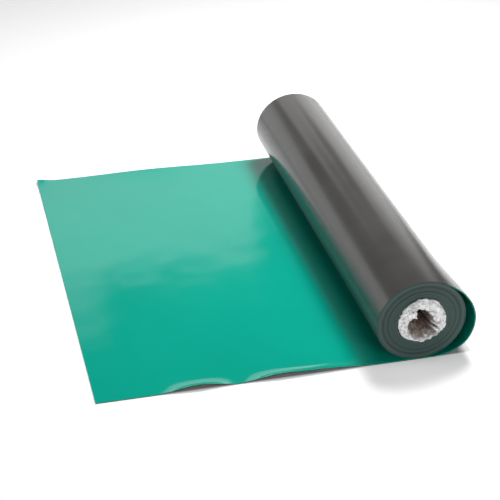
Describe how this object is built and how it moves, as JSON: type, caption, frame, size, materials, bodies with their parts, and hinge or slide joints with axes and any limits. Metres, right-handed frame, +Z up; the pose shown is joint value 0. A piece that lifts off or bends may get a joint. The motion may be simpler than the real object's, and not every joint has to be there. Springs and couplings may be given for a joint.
{
  "type": "anti-static bench mat roll",
  "caption": "Rubber anti-static bench mat, partly unrolled: a flat green sheet with a cut edge, wound into a dark roll with crumpled film in its bore.",
  "frame": {"origin": "on the floor, under the middle of the whole object", "axes": "+X from the cut edge towards the roll, +Y along the roll, +Z up"},
  "size_m": [0.7218, 0.906, 0.1702],
  "materials": {
    "mat_rubber": "satin, green on the upper face and near-black on the under face that shows outside on the roll",
    "film": "glossy crumpled film"
  },
  "bodies": {
    "root": {"mat_sheet": "mat_rubber", "core_film": "film"}
  },
  "joints": []
}
